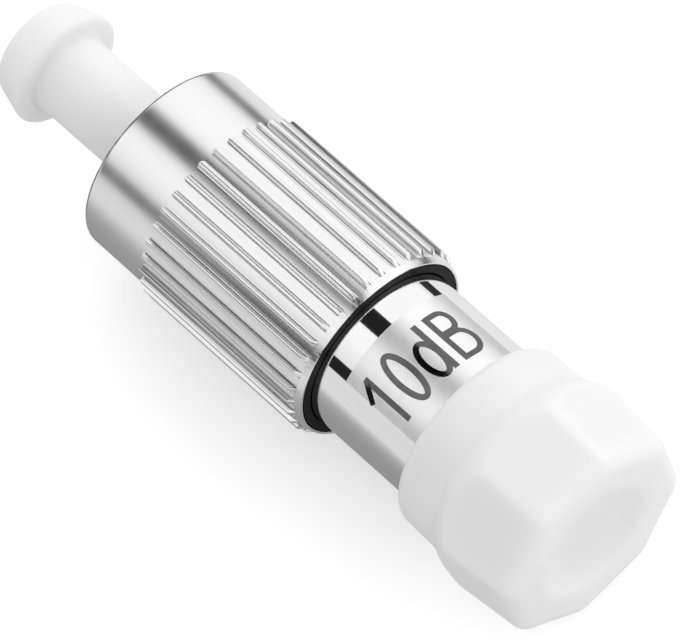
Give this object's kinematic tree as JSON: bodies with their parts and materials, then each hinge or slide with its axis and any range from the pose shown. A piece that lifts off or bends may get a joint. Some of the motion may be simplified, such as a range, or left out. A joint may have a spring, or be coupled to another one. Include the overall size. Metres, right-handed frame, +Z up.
{
  "type": "fixed fibre attenuator",
  "caption": "In-line fibre attenuator with a knurled coupling nut on the plug end, a threaded receptacle end and white dust caps on both.",
  "frame": {"origin": "under the middle of the object, on the surface it lies on", "axes": "+X along the optical axis towards the receptacle end, +Z up"},
  "size_m": [0.0362, 0.0104, 0.0103],
  "materials": {
    "polished_nickel": "polished nickel plate on brass",
    "knurled_nickel": "polished nickel plate on brass",
    "frame_nickel": "bright nickel plate on brass",
    "holder_nickel": "bright nickel plate on brass",
    "stop_brass": "turned",
    "holder_steel": "turned",
    "spring_steel": "drawn wire",
    "zirconia_ferrule": "polished",
    "zirconia_sleeve": "polished",
    "silica": "polished end",
    "silver_film": "satin silver film with printed value",
    "black_plastic": "satin",
    "white_cap_plastic": "moulded, slightly translucent",
    "white_grip_plastic": "moulded, slightly translucent"
  },
  "bodies": {
    "base": {"receptacle_body": "polished_nickel", "plug_frame": "frame_nickel", "sleeve_holder": "holder_nickel", "spring_stop": "stop_brass", "split_sleeve": "zirconia_sleeve", "value_label": "silver_film", "ferrule_spring": "spring_steel"},
    "ferrule_group": {"ferrule": "zirconia_ferrule", "doped_fibre": "silica", "ferrule_holder": "holder_steel"},
    "ring": {"slip_ring": "black_plastic"},
    "nut": {"coupling_nut": "knurled_nickel"},
    "small_cap": {"plug_cap": "white_cap_plastic"},
    "large_cap": {"receptacle_cap": "white_grip_plastic"}
  },
  "joints": [
    {"name": "ferrule_float", "type": "slide", "parent": "base", "child": "ferrule_group", "axis": [1, 0, 0], "range_m": [0, 0.0006], "stiffness_N_per_m": 1500, "springref_m": -0.004, "deforming": ["ferrule_spring"]},
    {"name": "nut_slide", "type": "slide", "parent": "base", "child": "ring", "axis": [1, 0, 0], "range_m": [-0.0006, 0.0006]},
    {"name": "nut_spin", "type": "hinge", "parent": "ring", "child": "nut", "pos_m": [0, 0, 0.00516], "axis": [1, 0, 0], "continuous": true},
    {"name": "plug_cap_pull", "type": "slide", "parent": "base", "child": "small_cap", "axis": [-1, 0, 0], "range_m": [0, 0.012]},
    {"name": "receptacle_cap_pull", "type": "slide", "parent": "base", "child": "large_cap", "axis": [1, 0, 0], "range_m": [0, 0.012]}
  ]
}
